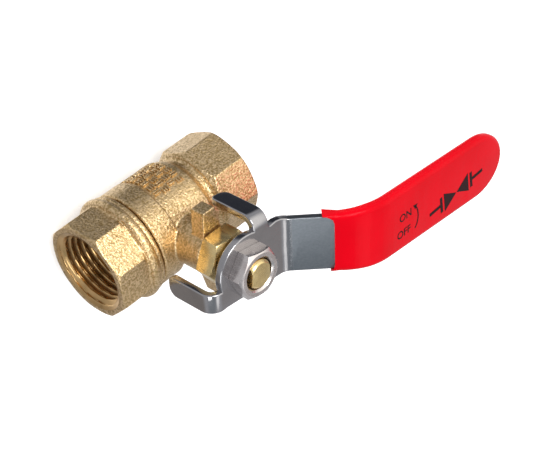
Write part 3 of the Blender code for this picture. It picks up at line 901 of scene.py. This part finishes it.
STUDIO = (0.55, 0.555, 0.58)
PATCHES = [  # direction, inner and outer angle in degrees, colour; later ones lie over earlier ones
    ((0.40, 0.35, 0.80), 18, 50, (1.45, 1.42, 1.36)),
    ((0.2, -0.1, -1.0), 20, 48, (1.3, 1.3, 1.3)),
    ((0.64, 0.50, -0.55), 12, 32, (0.055, 0.06, 0.075)),
    ((-0.66, -0.46, 0.59), 14, 34, (0.33, 0.36, 0.39)),
    ((-0.66, -0.46, -0.59), 12, 34, (0.36, 0.33, 0.31)),
    ((0.0, 0.1, 1.0), 4, 22, (1.7, 1.7, 1.7)),
    ((0.51, -0.62, 0.59), 6, 16, (0.44, 0.42, 0.42)),
    ((-0.07, -0.54, 0.84), 5, 14, (1.5, 1.5, 1.5))]


def surroundings():
    """A soft white studio with brighter and darker patches, which bright plating needs around it."""
    world = bpy.data.worlds.new("studio")
    bpy.context.scene.world = world
    world.use_nodes = True
    tree = world.node_tree
    colour = None
    for direction, inner, outer, tint in PATCHES:
        mix = tree.nodes.new("ShaderNodeMix")
        mix.data_type = "RGBA"
        colours = [s for s in mix.inputs if s.type == "RGBA"]
        if colour is None:
            colours[0].default_value = (*STUDIO, 1.0)
        else:
            tree.links.new(colour, colours[0])
        colours[1].default_value = (*tint, 1.0)
        tree.links.new(direction_lobe(tree, direction, inner, outer), mix.inputs["Factor"])
        colour = [s for s in mix.outputs if s.type == "RGBA"][0]
    background = tree.nodes["Background"]
    tree.links.new(colour, background.inputs["Color"])
    background.inputs["Strength"].default_value = 1.0


def softbox(name, spot, target, size, power, tint=(1, 1, 1)):
    light = bpy.data.lights.new(name, "AREA")
    light.shape = "RECTANGLE"
    light.size, light.size_y = size
    light.energy = power
    light.color = tint
    obj = bpy.data.objects.new(name, light)
    bpy.context.scene.collection.objects.link(obj)
    obj.location = Vector(spot)
    obj.rotation_euler = (Vector(spot) - Vector(target)).to_track_quat("Z", "Y").to_euler()
    return obj


def pale_floor(height):
    """The white ground that takes the soft shadow."""
    bm = bmesh.new()
    bmesh.ops.create_grid(bm, x_segments=1, y_segments=1, size=1500)
    bmesh.ops.translate(bm, vec=(0, 0, height), verts=bm.verts)
    floor = mesh_object("floor", bm)
    n = Nodes("pale floor")
    grain = n.noise(30.0, 3.0)
    material = n.set(n.mix(grain, (0.86, 0.86, 0.86), (0.90, 0.90, 0.90)), 0.8, 0.0)
    n.shader.inputs["Emission Color"].default_value = (1, 1, 1, 1)
    n.shader.inputs["Emission Strength"].default_value = 0.45
    floor.data.materials.append(material)
    floor.visible_glossy = False


SENSOR, LENS = 36.0, 99.7
CAMERA_SPOT = Vector((-177.2, 235.2, 248.2))
CAMERA_RIGHT, CAMERA_UP = Vector((0.67837, -0.12727, 0.72361)), Vector((0.52697, 0.77057, -0.35849))


def camera():
    """A long lens above the +Y side, rolled so that the stem leans down to the right."""
    data = bpy.data.cameras.new("camera")
    data.sensor_width = SENSOR
    data.lens = LENS
    data.clip_start, data.clip_end = 0.01, 10.0
    back = CAMERA_RIGHT.cross(CAMERA_UP)
    obj = bpy.data.objects.new("camera", data)
    bpy.context.scene.collection.objects.link(obj)
    pose = Matrix((CAMERA_RIGHT, CAMERA_UP, back)).transposed().to_4x4()
    pose.translation = CAMERA_SPOT * MM
    obj.matrix_world = pose
    bpy.context.scene.camera = obj


# ---------------------------------------------------------------- assembly

def main():
    blasted = blasted_brass()
    bright = turned_brass("turned brass", (0.92, 0.71, 0.34), 0.20, (1.0, 1.0, 0.15))
    # A darker copy of the turned brass: painted shade for the dim insides of the two threaded mouths
    shaded_socket_brass = turned_brass("socket brass painted shade", (0.66, 0.43, 0.19), 0.24, (1.0, 0.15, 0.15))
    plating, nickel, vinyl, ink = lever_chrome(), nut_nickel(), red_vinyl(), marking_ink()

    piece(body_skin(), "housing", blasted, ["valve_body"], 50.0)
    piece(end_skin(), "housing", blasted, ["end_connector"], 50.0)
    # The thread linings wear the darker brass, which is painted shade inside the mouths
    piece(thread_lining("far_thread", X_FAR, -1), "housing", shaded_socket_brass)
    piece(thread_lining("near_thread", X_NEAR, 1), "housing", shaded_socket_brass)
    gland = chamfered_nut("packing_nut", GLAND_FLATS, GLAND_LOW, GLAND_TOP, GLAND_TURN,
                          R_STEM + STEM_CLEAR, 0.9)
    piece(gland, "housing", bright, ["gland_nut"])

    piece(fine_ball(), "ball", ball_chrome(), ["ball"])
    piece(fine_stem(), "handle", bright, ["stem"])
    nut = chamfered_nut("lever_nut", NUT_FLATS, Z_PLATE + 0.03, NUT_TOP, NUT_TURN,
                        R_STEM + STEM_CLEAR, 0.75)
    nut.data.transform(LEVER_FRAME)
    piece(nut, "handle", nickel, ["handle_nut"])
    for make, slot, material, node in ((bent_lever, "chrome_steel", plating, "lever"),
                                       (grip_sleeve, "red_vinyl", vinyl, "grip_sleeve")):
        obj = make()
        obj.matrix_world = LEVER_FRAME
        piece(obj, "handle", material, [node], 40.0)

    piece(word("word_on", "ON", 41.2, 0.9, 3.1, 4.0), "handle", ink)
    piece(word("word_off", "OFF", 40.6, -3.8, 3.1, 4.0), "handle", ink)
    piece(inked("turn_arrow", turn_arrow(), 44.9, -1.4), "handle", ink)
    piece(inked("valve_sign", valve_sign(), 62.5, -2.4, 8.0), "handle", ink)

    ptfe = white_ptfe()
    coats = dict.fromkeys(("seat_near", "seat_far", "joint_seal", "thrust_washer", "packing_lower",
                           "packing_upper"), ptfe)
    coats["gland_follower"] = bright
    for name, coat in coats.items():
        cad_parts[name].data.materials.clear()
        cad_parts[name].data.materials.append(coat)

    bpy.context.scene.view_settings.view_transform = "Standard"
    surroundings()
    pale_floor(low("end_connector", 2) - 1.5)
    softbox("key", (-0.10, 0.45, 0.55), (0.0, 0.0, 0.01), (0.35, 0.35), 3.2)
    softbox("fill", (-0.55, -0.10, 0.35), (0.0, 0.0, 0.01), (0.35, 0.25), 1.2)
    camera()


main()
